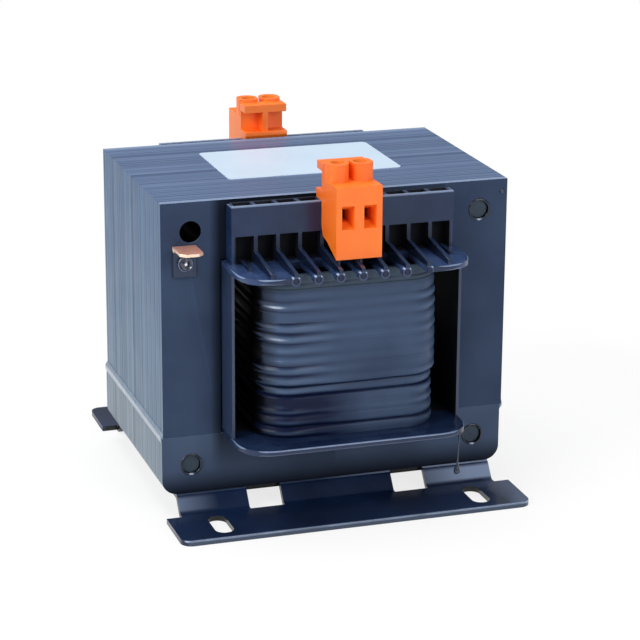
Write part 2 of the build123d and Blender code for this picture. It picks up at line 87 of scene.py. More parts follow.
def worked(operation, *values):
    """The result of one sum on values of a finish."""
    tree = next(value.id_data for value in values if is_linked(value))
    return add_node(tree, "ShaderNodeMath", dict(enumerate(values)), operation=operation).outputs[0]


def both(*shares):
    """What the shares have in common: their product."""
    common = shares[0]
    for share in shares[1:]:
        common = worked("MULTIPLY", common, share)
    return common


def either(first, second):
    return worked("MAXIMUM", first, second)


def rest_of(share):
    return worked("SUBTRACT", 1.0, share)


def size_of(value):
    """A value without its sign, the same on the left and the right."""
    return worked("ABSOLUTE", value)


def above(value, border):
    return worked("GREATER_THAN", value, border)


def below(value, border):
    return worked("LESS_THAN", value, border)


def spread(value, none, full):
    """A share that goes evenly from none to full between two values."""
    links = {"Value": value, "From Min": none, "From Max": full}
    return add_node(value.id_data, "ShaderNodeMapRange", links).outputs["Result"]


def past(value, border, softness):
    """A share that comes up where a value passes a border."""
    return spread(value, border - softness / 2, border + softness / 2)


def short_of(value, border, softness):
    """A share that goes down where a value passes a border."""
    return spread(value, border + softness / 2, border - softness / 2)


def as_light(paint):
    """A paint's red, green and blue, from 0 to 255 as the eye sees them, as a finish works with them."""
    parts = [part / 255 for part in paint]
    return [part / 12.92 if part <= 0.04045 else ((part + 0.055) / 1.055) ** 2.4 for part in parts] + [1.0]


def mix_paint(amount, first, second):
    """The first paint, with so much of the second over it."""
    first, second = (paint if is_linked(paint) else as_light(paint) for paint in (first, second))
    links = {0: amount, 6: first, 7: second}
    return add_node(amount.id_data, "ShaderNodeMix", links, data_type="RGBA").outputs[2]


def parts_of(vector):
    return add_node(vector.id_data, "ShaderNodeSeparateXYZ", {0: vector}).outputs


def place_on(finish):
    """Where a point of the surface lies, in metres from the middle of the footprint."""
    return add_node(finish.node_tree, "ShaderNodeTexCoord").outputs["Object"]


def reach_on(finish):
    """How far a point lies to the left or right, how far to the front or back, and how high."""
    place = parts_of(place_on(finish))
    return size_of(place["X"]), size_of(place["Y"]), place["Z"]


def on_left(finish):
    """One on the left half of the object, as seen by someone before its nearer broad face."""
    place = parts_of(place_on(finish))
    return above(worked("MULTIPLY", place["X"], place["Y"]), 0.0)


def facing(finish):
    """The way that the surface faces, in its three parts."""
    return parts_of(add_node(finish.node_tree, "ShaderNodeNewGeometry").outputs["Normal"])


def mottle(finish, scale, detail=3.0, roughness=0.55):
    """Uneven patches in the solid of the piece, smaller for a larger scale."""
    links = {"Vector": place_on(finish), "Scale": scale, "Detail": detail, "Roughness": roughness}
    return add_node(finish.node_tree, "ShaderNodeTexNoise", links).outputs["Fac"]


def lines_along(finish, part, per_metre, detail=2.0):
    """Uneven lines that follow each other along X, Y or Z."""
    step = worked("MULTIPLY", parts_of(place_on(finish))[part], per_metre)
    links = {"W": step, "Scale": 1.0, "Detail": detail}
    return add_node(finish.node_tree, "ShaderNodeTexNoise", links, noise_dimensions="1D").outputs["Fac"]


def shader_input(finish, name):
    return finish.node_tree.nodes["Principled BSDF"].inputs[name]


def new_finish(name, roughness, coat=0.0, coat_roughness=0.08, metal=0.0, shine=0.5):
    """A finish that still waits for its colour."""
    finish = bpy.data.materials.new(name)
    finish.use_nodes = True
    shader_input(finish, "Roughness").default_value = roughness
    shader_input(finish, "Metallic").default_value = metal
    shader_input(finish, "Specular IOR Level").default_value = shine
    shader_input(finish, "Coat Weight").default_value = coat
    shader_input(finish, "Coat Roughness").default_value = coat_roughness
    return finish


def set_colour(finish, colour):
    finish.node_tree.links.new(colour, shader_input(finish, "Base Color"))


def set_roughness(finish, value):
    finish.node_tree.links.new(value, shader_input(finish, "Roughness"))


def set_bump(finish, height, depth, strength=1.0):
    links = {"Height": height, "Distance": depth, "Strength": strength}
    bump = add_node(finish.node_tree, "ShaderNodeBump", links)
    finish.node_tree.links.new(bump.outputs["Normal"], shader_input(finish, "Normal"))


def sheet_edge_paint(finish, lines, dark_edge, pale_edge, low_side_shade, high_side_shade):
    """The top and the sides, where the edges of all the sheets lie side by side, with painted shade on the sides
    and in the windows and a painted highlight on the outermost sheets.
    """
    across, depth, height = reach_on(finish)
    edges = mix_paint(lines, dark_edge, pale_edge)
    cloud = spread(mottle(finish, 26.0), 0.3, 0.75)
    edges = mix_paint(both(cloud, 0.3), edges, dark_edge)
    # A painted highlight on the outermost sheets, along the front and back edges of the stack.
    outer_highlight = past(depth, outer_sheets, 0.0005)
    edges = mix_paint(both(outer_highlight, 0.7), edges, outer_sheet_highlight_paint)
    # Painted shade on the sides, darker towards the top.
    side = mix_paint(spread(height, 0.02, core_top), low_side_shade, high_side_shade)
    side = mix_paint(spread(lines, 0.92, -0.4), side, side_groove_paint)
    edges = mix_paint(size_of(facing(finish)["X"]), edges, side)
    # Painted shade: the inside of the windows and of the open corner hole is painted near black.
    in_window = both(below(across, window_reach), below(depth, window_depth))
    in_window = both(in_window, below(height, window_top), above(height, window_foot))
    return mix_paint(in_window, edges, window_shade_paint)


def broad_face_paint(finish, dark_face, pale_face):
    """The front and the back, with painted shade at the foot and beside the left liner."""
    across, depth, height = reach_on(finish)
    face = mix_paint(spread(mottle(finish, 40.0), 0.35, 0.7), dark_face, pale_face)
    # Painted shade that darkens the lowest part of the face.
    foot_shade_share = spread(height, 0.0125, 0.0062)
    face = mix_paint(foot_shade_share, face, foot_shade_paint)
    beside_liner = both(spread(across, 0.0350, 0.0322), on_left(finish), spread(height, 0.010, 0.022))
    return mix_paint(both(beside_liner, 0.85), face, liner_shade_paint)


def laminated(name, contrast, edge_paints, side_shade_paints, face_shade_paints):
    """Varnish over a stack of sheets, with each pair of paints from dark to pale or from low to high, and painted
    shade in the face and side paints.
    """
    finish = new_finish(name, 0.34, shine=0.08)
    bands = worked("ADD", lines_along(finish, "Y", broad_lines), lines_along(finish, "Y", fine_lines, 1.0))
    lines = spread(both(bands, 0.5), 0.5 - contrast, 0.5 + contrast)
    broad = spread(size_of(facing(finish)["Y"]), 0.6, 0.8)
    edges = sheet_edge_paint(finish, lines, *edge_paints, *side_shade_paints)
    # Painted shade: the broad faces take darker paints than the edges of the sheets.
    set_colour(finish, mix_paint(broad, edges, broad_face_paint(finish, *face_shade_paints)))
    set_roughness(finish, worked("ADD", both(mottle(finish, 90.0), 0.16), 0.24))
    ripple = both(bands, rest_of(broad))
    set_bump(finish, worked("SUBTRACT", mottle(finish, 120.0), ripple), 0.00012, 0.5)
    return finish


def cad_copy(node):
    """A CAD piece with its loose triangles joined to plain faces."""
    shape = bmesh.new()
    shape.from_mesh(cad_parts[node].data)
    bmesh.ops.remove_doubles(shape, verts=shape.verts, dist=0.00001)
    bmesh.ops.dissolve_limit(shape, angle_limit=radians(1), verts=shape.verts, edges=shape.edges)
    return shape


def rounded_off(shape, edges, size, steps):
    bmesh.ops.bevel(shape, geom=edges, offset=size, segments=steps, profile=0.5, affect="EDGES", material=-1)


def new_piece(name, shape, finish):
    mesh = bpy.data.meshes.new(name)
    shape.to_mesh(mesh)
    shape.free()
    piece = bpy.data.objects.new(name, mesh)
    bpy.context.scene.collection.objects.link(piece)
    mesh.materials.append(finish)
    return piece


def smoothed(piece, sharpest):
    """Even shading, with a crease where two faces meet at more than so many degrees."""
    piece.data.shade_smooth()
    piece.data.set_sharp_from_angle(angle=radians(sharpest))


def soften_edges(piece, radius, sharpest=32):
    """A small rounding on every edge that is sharper than so many degrees."""
    rounding = piece.modifiers.new("rounding", "BEVEL")
    rounding.width = radius
    rounding.segments = 2
    rounding.limit_method = "ANGLE"
    rounding.angle_limit = radians(sharpest)
    rounding.harden_normals = True
    smoothed(piece, sharpest)


def put_for(piece, node):
    """Shows a piece in the place of the CAD piece that it dresses."""
    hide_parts(node)
    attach(piece, "root")


def dipped(node, shape, radius, finish):
    """The shape of a CAD piece as the dip leaves it."""
    piece = new_piece(node + "_dipped", shape, finish)
    soften_edges(piece, radius)
    put_for(piece, node)


def softened_yoke():
    """The I stack with the edges of its lower chamfers rounded off."""
    shape = cad_copy("core_i_stack")
    soft = []
    for edge in shape.edges:
        start, end = (vert.co for vert in edge.verts)
        lengthwise = abs(start.y - end.y) > stack_half
        at_corner = abs(start.x) > yoke_corner_x and start.z < yoke_corner_z
        if lengthwise and at_corner and edge.is_convex:
            soft.append(edge)
    rounded_off(shape, soft, yoke_softening, 4)
    return shape


e_finish = laminated(
    "e_sheet_varnish",
    contrast=0.1,
    edge_paints=((68, 86, 118), (104, 124, 158)),
    side_shade_paints=((106, 130, 150), (67, 100, 137)),
    face_shade_paints=((48, 61, 86), (57, 73, 99)),
)
i_finish = laminated(
    "i_sheet_varnish",
    contrast=0.16,
    edge_paints=((102, 116, 132), (124, 138, 150)),
    side_shade_paints=((124, 141, 153), (120, 137, 150)),
    face_shade_paints=((62, 76, 100), (72, 88, 114)),
)
dipped("core_e_stack", cad_copy("core_e_stack"), core_rounding, e_finish)
dipped("core_i_stack", softened_yoke(), core_rounding, i_finish)

# The two seams that join the E and I sheets at the sides, and the pins in three corner holes.
# Both are steel under the same varnish. It pools in a ring round the end of each pin, painted very
# dark as painted shade of the gap, and each ring has a painted glint at its lowest point.
seam_rounding = 0.0004
seam_paints = ((112, 130, 150), (134, 150, 168))
pin_rounding = 0.0003
pin_paints = ((34, 50, 66), (48, 66, 82))
pool_shade_paints = ((7, 13, 28), (16, 27, 48))
pool_glint_paint = (160, 176, 204)
hole_x = 0.04
upper_hole_z = 0.078
lower_hole_z = 0.014
yoke_shift = -0.0004
pin_places = (
    (hole_x, upper_hole_z),
    (hole_x + yoke_shift, lower_hole_z),
    (-hole_x + yoke_shift, lower_hole_z),
)
ring_radius = 0.00275
ring_thickness = 0.0003
ring_tip = 0.03
ring_glint = 0.00055


def mottled(finish, scale, paints):
    """Gives a finish a colour that wanders between two paints."""
    set_colour(finish, mix_paint(mottle(finish, scale), *paints))
    return finish


def seen_from_front(finish):
    """The place of a point without its depth."""
    links = {0: place_on(finish), 1: (1.0, 0.0, 1.0)}
    return add_node(finish.node_tree, "ShaderNodeVectorMath", links, operation="MULTIPLY").outputs[0]


def from_point(place, point=(0.0, 0.0, 0.0)):
    """How far a place lies from a point."""
    links = {0: place, 1: point}
    return add_node(place.id_data, "ShaderNodeVectorMath", links, operation="DISTANCE").outputs["Value"]


def pooled_varnish():
    """Wet varnish painted dark as painted shade of the gap, with a painted glint under each pin."""
    finish = new_finish("pooled_varnish", 0.16, coat=0.35, coat_roughness=0.05)
    # Painted shade: the ring is painted near black like the gap round the pin.
    tone = mix_paint(mottle(finish, 900.0), *pool_shade_paints)
    place = seen_from_front(finish)
    for x, z in pin_places:
        apart = from_point(place, (x, 0.0, z - ring_radius))
        tone = mix_paint(short_of(apart, ring_glint, 0.0005), tone, pool_glint_paint)
    set_colour(finish, tone)
    return finish


def spun(shape, outline, axis, steps):
    """Turns an outline once round an axis, with its seam and its poles closed."""
    bmesh.ops.spin(shape, geom=outline, cent=(0, 0, 0), axis=axis, angle=2 * pi, steps=steps, use_merge=True)
    bmesh.ops.remove_doubles(shape, verts=shape.verts, dist=0.000002)
    bmesh.ops.recalc_face_normals(shape, faces=shape.faces)


def pooled_ring(x, z, side):
    """One ring of varnish, tipped a little so that it is thicker on one side."""
    shape = bmesh.new()
    bmesh.ops.create_circle(shape, segments=12, radius=ring_thickness)
    bmesh.ops.translate(shape, vec=(ring_radius, 0, 0), verts=shape.verts)
    spun(shape, shape.verts[:] + shape.edges[:], (0, 1, 0), 44)
    tip = Matrix.Rotation(side * ring_tip, 3, "Z")
    bmesh.ops.rotate(shape, cent=(0, 0, 0), matrix=tip, verts=shape.verts)
    bmesh.ops.translate(shape, vec=(x, side * stack_half, z), verts=shape.verts)
    ring = new_piece("pooled_varnish_ring", shape, pool_finish)
    ring.data.shade_smooth()
    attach(ring, "root")


seam_finish = mottled(new_finish("seam_varnish", 0.3, coat=0.5), 300.0, seam_paints)
set_bump(seam_finish, mottle(seam_finish, 500.0), 0.0003)
dipped("core_weld_seams", cad_copy("core_weld_seams"), seam_rounding, seam_finish)

pin_finish = mottled(new_finish("pin_varnish", 0.3, coat=0.15, shine=0.25), 400.0, pin_paints)
set_bump(pin_finish, mottle(pin_finish, 600.0), 0.0002)
dipped("corner_pins", cad_copy("corner_pins"), pin_rounding, pin_finish)

pool_finish = pooled_varnish()
for side in (-1, 1):
    for x, z in pin_places:
        pooled_ring(x, z, side)

# The bobbin: one black moulding with a tube, two flanges, and front and back a row of ten open
# pockets with sloping ribs and free fingers. The dip leaves it navy and glossy, with painted shade
# that darkens its lower part, the sides of its ribs and the inside of its pockets, painted highlights
# along its rims and the top of the pocket wall, and a painted highlight ring and a painted glint on each finger
# end.
bobbin_rounding = 0.00025
rim_rounding = 0.0005
rim_side = 0.0305
rim_front = 0.0525
rim_clear_of_ribs = 0.0194
behind_core_face = 0.033
between_flanges = 0.030
high_part = 0.060
flange_top = 0.0702
rib_foot = 0.0699
wall_foot = 0.0770
top_line = 0.08495
row_top = 0.0850
row_half = 0.0302
pocket_row_half = 0.0303
inside_of_wall = 0.0362
end_wall_face = 0.0376
divider_back = 0.0331
notch_half = 0.0191
front_of_rims = 0.05305
finger_pitch = 0.006
finger_axis = 0.0688
finger_row_half = 0.0195
finger_from = 0.0508
finger_face = 0.0529
knob_radius = 0.0014
knob_ring = 0.00108
glint_place = (0.00085, 0.0, 0.00098)
glint_from = 0.0524
glint_radius = 0.00028
low_shade_paints = ((14, 26, 54), (34, 50, 80))
high_paints = ((34, 52, 90), (58, 78, 116))
wall_paints = ((22, 40, 72), (33, 53, 88))
rib_side_shade_paint = (6, 10, 24)
rib_front_paint = (26, 37, 60)
rim_paint = (32, 46, 74)
top_highlight_paint = (120, 138, 170)
pocket_shade_paint = (5, 10, 21)
divider_top_paint = (44, 60, 88)
edge_highlight_paint = (128, 146, 180)
finger_end_paint = (24, 36, 62)
finger_ring_highlight_paint = (62, 76, 108)
finger_glint_paint = (164, 180, 214)


def rounded_edge(finish):
    """One where the surface turns from one face to the next, none on the faces."""
    normal = facing(finish)
    steepest = either(size_of(normal["X"]), size_of(normal["Y"]))
    return spread(either(steepest, size_of(normal["Z"])), 0.95, 0.88)


def inside_pockets(across, depth):
    """The share of a point that lies in the pockets, behind their plain wall."""
    return both(short_of(depth, inside_of_wall, 0.0002), short_of(across, pocket_row_half, 0.0002))


def rib_paint(finish, colour):
    """The ribs under the plain wall, black with painted shade on their sides and dark on their fronts."""
    across, depth, height = reach_on(finish)
    sideways = spread(size_of(facing(finish)["X"]), 0.85, 0.97)
    rib_side = both(sideways, past(height, rib_foot - 0.00015, 0.0003))
    # Painted shade: the sides of the ribs are painted near black.
    colour = mix_paint(both(rib_side, 0.85), colour, rib_side_shade_paint)
    rib_height = both(past(height, rib_foot + 0.00015, 0.0003), short_of(height, wall_foot, 0.0004))
    rib_front = both(rib_height, below(across, row_half - 0.0002), rest_of(rib_side))
    return mix_paint(both(rib_front, 0.8), colour, rib_front_paint)


def rim_of_flanges_paint(finish, colour):
    """The front and back rims of the flanges, the upper one only beside its notch."""
    across, depth, height = reach_on(finish)
    beside_notch = either(past(across, notch_half, 0.0006), below(height, between_flanges))
    return mix_paint(both(beside_notch, past(depth, front_of_rims, 0.0005)), colour, rim_paint)


def pocket_row_paint(finish, colour, tone):
    """The plain wall of the pocket row with a painted highlight along its top, and the inside of the pockets black
    with painted shade.
    """
    across, depth, height = reach_on(finish)
    row_end = both(past(across, row_half, 0.0004), past(height, flange_top - 0.0001, 0.0002))
    row_end = both(row_end, below(depth, end_wall_face))
    on_wall = past(height, wall_foot + 0.00005, 0.0005)
    colour = mix_paint(either(on_wall, row_end), colour, mix_paint(tone, *wall_paints))
    # A painted highlight along the top of the wall.
    colour = mix_paint(past(height, top_line, 0.0003), colour, top_highlight_paint)
    inside = inside_pockets(across, depth)
    # Painted shade: the inside of the pockets is painted near black.
    colour = mix_paint(inside, colour, pocket_shade_paint)
    divider_top = both(inside, past(depth, divider_back, 0.0002), past(height, row_top, 0.0002))
    return mix_paint(divider_top, colour, divider_top_paint)


def edge_highlights(finish):
    """The share of a painted highlight on each rounded edge, less on the underside of the flanges."""
    height = reach_on(finish)[2]
    upward = facing(finish)["Z"]
    on_flange = below(height, flange_top)
    not_under = spread(upward, -0.2, -0.05)
    lit = either(not_under, both(on_flange, 0.5))
    inclined = spread(size_of(upward), 0.2, 0.3)
    turned = either(inclined, above(height, flange_top))
    return both(rounded_edge(finish), 0.8, lit, turned)


def finger_paint(finish, colour):
    """The round ends of the fingers, each with a painted highlight ring and a painted glint, and no painted edge
    highlight on them.
    """
    across, depth, height = reach_on(finish)
    aside = worked("PINGPONG", across, finger_pitch / 2)
    rise = worked("SUBTRACT", height, finger_axis)
    spot = add_node(finish.node_tree, "ShaderNodeCombineXYZ", {"X": aside, "Z": rise}).outputs[0]
    off_axis = from_point(spot)
    in_row = both(past(depth, finger_from, 0.0002), below(across, finger_row_half), above(height, high_part))
    knob = both(in_row, short_of(off_axis, knob_radius, 0.0001))
    colour = mix_paint(both(edge_highlights(finish), rest_of(knob)), colour, edge_highlight_paint)
    end = both(knob, past(depth, finger_face, 0.0002))
    colour = mix_paint(end, colour, finger_end_paint)
    off_ring = size_of(worked("SUBTRACT", off_axis, knob_ring))
    # A painted highlight ring on each finger end.
    colour = mix_paint(both(end, short_of(off_ring, 0.00016, 0.00012)), colour, finger_ring_highlight_paint)
    glint = short_of(from_point(spot, glint_place), glint_radius, 0.00016)
    glint = both(glint, past(depth, glint_from, 0.0004), knob)
    return mix_paint(glint, colour, finger_glint_paint)


def bobbin_varnish():
    finish = new_finish("bobbin_varnish", 0.2, shine=0.36)
    across, depth, height = reach_on(finish)
    tone = spread(mottle(finish, 110.0, 4.0), 0.3, 0.72)
    shaded_low, high = mix_paint(tone, *low_shade_paints), mix_paint(tone, *high_paints)
    # Painted shade: everything below the upper part is painted darker.
    colour = mix_paint(above(height, high_part), shaded_low, high)
    colour = rib_paint(finish, colour)
    colour = rim_of_flanges_paint(finish, colour)
    colour = pocket_row_paint(finish, colour, tone)
    set_colour(finish, finger_paint(finish, colour))
    set_roughness(finish, worked("ADD", both(inside_pockets(across, depth), 0.6), 0.2))
    set_bump(finish, mottle(finish, 260.0), 0.00025, 0.4)
    return finish


def is_flange_rim(edge):
    """True for the outer edges of the two flanges, between a flat and an upright face."""
    if len(edge.link_faces) != 2 or not edge.is_convex:
        return False
    slopes = [abs(face.normal.z) for face in edge.link_faces]
    middle = (edge.verts[0].co + edge.verts[1].co) / 2
    outer = abs(middle.y) > rim_front or abs(middle.x) > rim_side
    nearest = min(abs(vert.co.x) for vert in edge.verts)
    clear = middle.z < between_flanges or nearest > rim_clear_of_ribs
    in_front = abs(middle.y) > behind_core_face and middle.z < rib_foot
    return min(slopes) < 0.01 and max(slopes) > 0.99 and outer and clear and in_front


def rounded_flanges():
    shape = cad_copy("bobbin")
    rims = [edge for edge in shape.edges if is_flange_rim(edge)]
    rounded_off(shape, rims, rim_rounding, 3)
    return shape


dipped("bobbin", rounded_flanges(), bobbin_rounding, bobbin_varnish())

# Two sheets of insulation that line the left and right edges of the windows, between the flanges.
# They are dark inside and varnished navy on their outer faces and their front and back edges.
liner_rounding = 0.0001
liner_paints = ((4, 5, 9), (9, 11, 18))
liner_outer_paint = (32, 48, 76)
liner_edge_paint = (46, 60, 86)


def liner_varnish():
    finish = new_finish("liner_varnish", 0.5, coat=0.2)
    colour = mix_paint(mottle(finish, 150.0), *liner_paints)
    normal = facing(finish)
    outwards = worked("MULTIPLY", parts_of(place_on(finish))["X"], normal["X"])
    colour = mix_paint(spread(outwards, 0.01, 0.02), colour, liner_outer_paint)
    edge_face = spread(size_of(normal["Y"]), 0.5, 0.8)
    set_colour(finish, mix_paint(edge_face, colour, liner_edge_paint))
    return finish


liner_finish = liner_varnish()
for node in ("left_liner", "right_liner"):
    dipped(node, cad_copy(node), liner_rounding, liner_finish)

# The outer winding: thick turns under film and varnish, which smooths them to soft ridges.
# They show most at the left and at the corners. The lowest five turns sit a little deeper,
# the film cuts in at three places, and a plain band of it closes the top.
# The turns carry painted shade in their grooves, cuts and lower left, and painted light on their crests.
turn_count = 14
plain_band = 0.00404
band_relief = 0.1
deep_turns = 5
step_depth = 0.0009
ridge_depth = 0.0006
ridge_tones = 0.75
strongest_ridge = 0.8
weakest_ridge = 0.1
weaker_from = -0.016
weakest_from = -0.003
left_corner_ridge = 0.75
right_corner_ridge = 0.45
turn_wander = 0.1
wander_per_metre = 50
wander_per_turn = 0.8
mean_size = 0.8
size_change = 1.3
size_per_metre = 25
size_per_turn = 3.7
cut_places = (1.0, 4.0, 5.0)
cut_depth = 0.00045
cut_width = 0.13
film_folds = (0.12, 0.55)
fold_depth = 0.4
fold_width = 0.07
shade_depth = 0.6
shade_from = 0.004
shade_to = -0.010
shaded_turns = 4.6
glints = (
    (12.45, -0.0206, 1.0),
    (9.55, -0.0204, 0.5),
    (7.55, -0.0202, 0.5),
    (3.0, -0.0208, 1.0),
    (2.0, -0.0204, 0.6),
)
glint_height = 0.16
glint_length = 0.0018
coil_corner = 0.0095
coil_columns = 13
coil_rows = 168
belly_x = 0.0003
belly_y = 0.0012
coil_low, coil_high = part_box("coil_wrap")
coil_height = coil_high[2] - coil_low[2]
coil_half_x = coil_high[0] - belly_x - ridge_depth / 2
coil_half_y = coil_high[1] - belly_y - ridge_depth / 2
turn_pitch = (coil_height - plain_band) / turn_count
ridge_light_and_shade_paints = ((8, 20, 52), (74, 93, 122))
patch_paint = (16, 28, 56)
band_paint = (58, 71, 82)
shaded_side_paint = (4, 5, 9)
coil_glint_paint = (196, 206, 226)


def within(value, none, full):
    """A share that goes from none to full between two values, as spread does for a finish."""
    return min(1.0, max(0.0, (value - none) / (full - none)))


def hump(off, width):
    return exp(-((off / width) ** 2))


def to_the_right(place):
    """How far right a point lies, as seen by someone before its side of the coil."""
    return place.x if place.y < 0 else -place.x


def ridge_strength(place):
    """How much of the ridges the varnish leaves: most at the left, less on the flat right part."""
    across = to_the_right(place)
    flat = strongest_ridge - (strongest_ridge - weakest_ridge) * within(across, weaker_from, weakest_from)
    corner_from = coil_half_x - coil_corner
    corner = within(abs(place.x), corner_from, corner_from + 0.7 * coil_corner)
    at_corner = left_corner_ridge if across < 0 else right_corner_ridge
    return flat + (at_corner - flat) * corner


def turn_relief(turn, place):
    """How far a point stands out over the mean surface, as a share, and how deep the film cuts in."""
    if turn >= turn_count:
        folds = sum(hump(turn - turn_count - fold, fold_width) for fold in film_folds)
        return band_relief - fold_depth * folds, 0.0
    x, y = place.x, place.y
    turn += turn_wander * noise.noise(Vector((x * wander_per_metre, y * wander_per_metre, turn * wander_per_turn)))
    size_spot = Vector((int(turn) * size_per_turn, x * size_per_metre, y * size_per_metre))
    own = mean_size + size_change * noise.noise(size_spot)
    cut = sum(hump(turn - cut_place, cut_width) for cut_place in cut_places)
    return -cos(2 * pi * turn) / 2 * ridge_strength(place) * own, cut


def low_left_shade(turn, place):
    """The shade at the lower left, in the corner between liner and flange."""
    left = within(to_the_right(place), shade_from, shade_to)
    return shade_depth * left * within(turn, shaded_turns, shaded_turns - 0.8)


def glint_at(turn, place):
    """The share of a glint where a ridge turns the left corner."""
    across = to_the_right(place)
    shares = [share * hump(turn - level, glint_height) * hump(across - centre, glint_length)
              for level, centre, share in glints]
    return min(1.0, sum(shares))


def tall_edges(shape):
    return [edge for edge in shape.edges if abs(edge.verts[0].co.z - edge.verts[1].co.z) > coil_height / 2]


def rounded_block():
    """The plain block of the coil, cut to a fine grid on its sides."""
    shape = bmesh.new()
    bmesh.ops.create_cube(shape, size=1.0)
    bmesh.ops.scale(shape, vec=(2 * coil_half_x, 2 * coil_half_y, coil_height), verts=shape.verts)
    bmesh.ops.translate(shape, vec=(0, 0, (coil_high[2] + coil_low[2]) / 2), verts=shape.verts)
    rounded_off(shape, tall_edges(shape), coil_corner, 10)
    for normal, half in (((1, 0, 0), coil_half_x), ((0, 1, 0), coil_half_y)):
        for column in range(coil_columns):
            aside = (2 * (column + 0.5) / coil_columns - 1) * (half - coil_corner)
            everything = shape.verts[:] + shape.edges[:] + shape.faces[:]
            point = [part * aside for part in normal]
            bmesh.ops.bisect_plane(shape, geom=everything, dist=0.00001, plane_co=point, plane_no=normal)
    bmesh.ops.subdivide_edges(shape, edges=tall_edges(shape), cuts=coil_rows - 1, use_grid_fill=True)
    shape.normal_update()
    return shape


def wound_coil():
    """The coil with its ridges, and with its painted light and shade as tones on the vertices."""
    shape = rounded_block()
    shade = shape.verts.layers.float_color.new("shade")
    swell = {}
    for vert in shape.verts:
        out = Vector((vert.normal.x, vert.normal.y, 0.0))
        if out.length > 0.1:
            turn = (vert.co.z - coil_low[2]) / turn_pitch
            relief, cut = turn_relief(turn, vert.co)
            recess = step_depth * (int(turn) + 1) / deep_turns if turn < deep_turns else 0.0
            bulge = sin(pi * min(1.0, turn / turn_count))
            out.normalize()
            stretch = Vector((belly_x * out.x, belly_y * out.y, 0.0)) * bulge
            swell[vert] = out * (ridge_depth * relief - cut_depth * cut - recess) + stretch
            # The tone paints shade into the grooves, the cuts and the lower left, and light onto the crests and
            # glints.
            tone = 0.5 + relief - 0.5 * cut - low_left_shade(turn, vert.co)
            tone = min(ridge_tones, max(0.0, tone)) + (1 - ridge_tones) * glint_at(turn, vert.co)
            vert[shade] = (tone, tone, tone, 1.0)
    for vert, move in swell.items():
        vert.co += move
    return shape


def winding_varnish():
    """Navy with painted shade in the grooves and painted light on the ridges, with dark patches, glints and a
    plain band.
    """
    finish = new_finish("winding_varnish", 0.3, coat=0.03, coat_roughness=0.1, shine=0.16)
    place = parts_of(place_on(finish))
    shade = add_node(finish.node_tree, "ShaderNodeVertexColor", layer_name="shade").outputs["Color"]
    colour = mix_paint(spread(shade, 0.0, ridge_tones), *ridge_light_and_shade_paints)
    patches = spread(mottle(finish, 38.0), 0.48, 0.72)
    colour = mix_paint(both(patches, 0.45), colour, patch_paint)
    film_band = past(place["Z"], coil_high[2] - plain_band, 0.0008)
    colour = mix_paint(both(film_band, 0.7), colour, band_paint)
    sideways = facing(finish)["X"]
    left_facing = worked("MULTIPLY", sideways, place["Y"])
    turned_left = both(spread(size_of(sideways), 0.70, 0.86), above(left_facing, 0.0))
    in_shade = either(spread(left_facing, 0.022, 0.040), turned_left)
    colour = mix_paint(in_shade, colour, shaded_side_paint)
    glint = spread(shade, ridge_tones + 0.01, 1.0)
    set_colour(finish, mix_paint(glint, colour, coil_glint_paint))
    set_roughness(finish, spread(lines_along(finish, "Z", 330.0), -0.1, 1.3))
    set_bump(finish, mottle(finish, 330.0, 2.0), 0.0003, 0.35)
    return finish


coil = new_piece("varnished_winding", wound_coil(), winding_varnish())
smoothed(coil, 60)
put_for(coil, "coil_wrap")

# Dried varnish from the dip: one thread that hangs from the lower flange and ends in a drop,
# and one small bead near the top right corner of the front face. The outline of the thread is
# in millimetres, each height over the end of the drop with its radius.
thread_top = Vector((0.0283, -0.0513, 0.0223))
thread_end = Vector((0.0279, -0.0510, 0.0106))
drop_outline = ((0.0, 0.0), (0.12, 0.50), (0.35, 0.78), (0.8, 0.94), (1.3, 0.86), (1.9, 0.6), (2.7, 0.34))
strand_outline = ((4.0, 0.18), (9.0, 0.14), (12.0, 0.3), (12.0, 0.0))
millimetre = 0.001
bead_radius = 0.0007
bead_flatness = 0.6
bead_place = (0.0464, -stack_half, 0.0826)
drip_paints = ((20, 32, 56), (34, 48, 74))


def turned_body(shape, outline, axis, steps):
    """Turns a line of points, given in millimetres, into a round body."""
    profile = [shape.verts.new([part * millimetre for part in point]) for point in outline]
    edges = [shape.edges.new(pair) for pair in zip(profile, profile[1:])]
    spun(shape, profile + edges, axis, steps)


def thread_of_varnish():
    """A drop and its strand, turned upright and then leaned."""
    shape = bmesh.new()
    turned_body(shape, [(radius, 0, rise) for rise, radius in drop_outline + strand_outline], (0, 0, 1), 16)
    lean = thread_top - thread_end
    for vert in shape.verts:
        vert.co += thread_end + Vector((lean.x, lean.y, 0.0)) * vert.co.z / lean.z
    return shape


def bead_of_varnish():
    shape = bmesh.new()
    bmesh.ops.create_uvsphere(shape, u_segments=20, v_segments=12, radius=bead_radius)
    bmesh.ops.scale(shape, vec=(1.0, bead_flatness, 1.0), verts=shape.verts)
    bmesh.ops.translate(shape, vec=bead_place, verts=shape.verts)
    return shape


drip_finish = mottled(new_finish("dripped_varnish", 0.22, coat=0.5, coat_roughness=0.05), 600.0, drip_paints)
for name, shape in (("varnish_thread", thread_of_varnish()), ("varnish_bead", bead_of_varnish())):
    drip = new_piece(name, shape, drip_finish)
    drip.data.shade_smooth()
    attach(drip, "root")

# Inside the wrap: the two windings of enamelled copper with film between them, mostly hidden.
# Their ends rise through the open flange into the pockets under the clamp blocks.
copper_bands = 160.0
copper_paints = ((120, 60, 38), (190, 112, 72))
film_paints = ((204, 188, 136), (224, 212, 168))
lead_paints = ((32, 44, 64), (58, 72, 96))


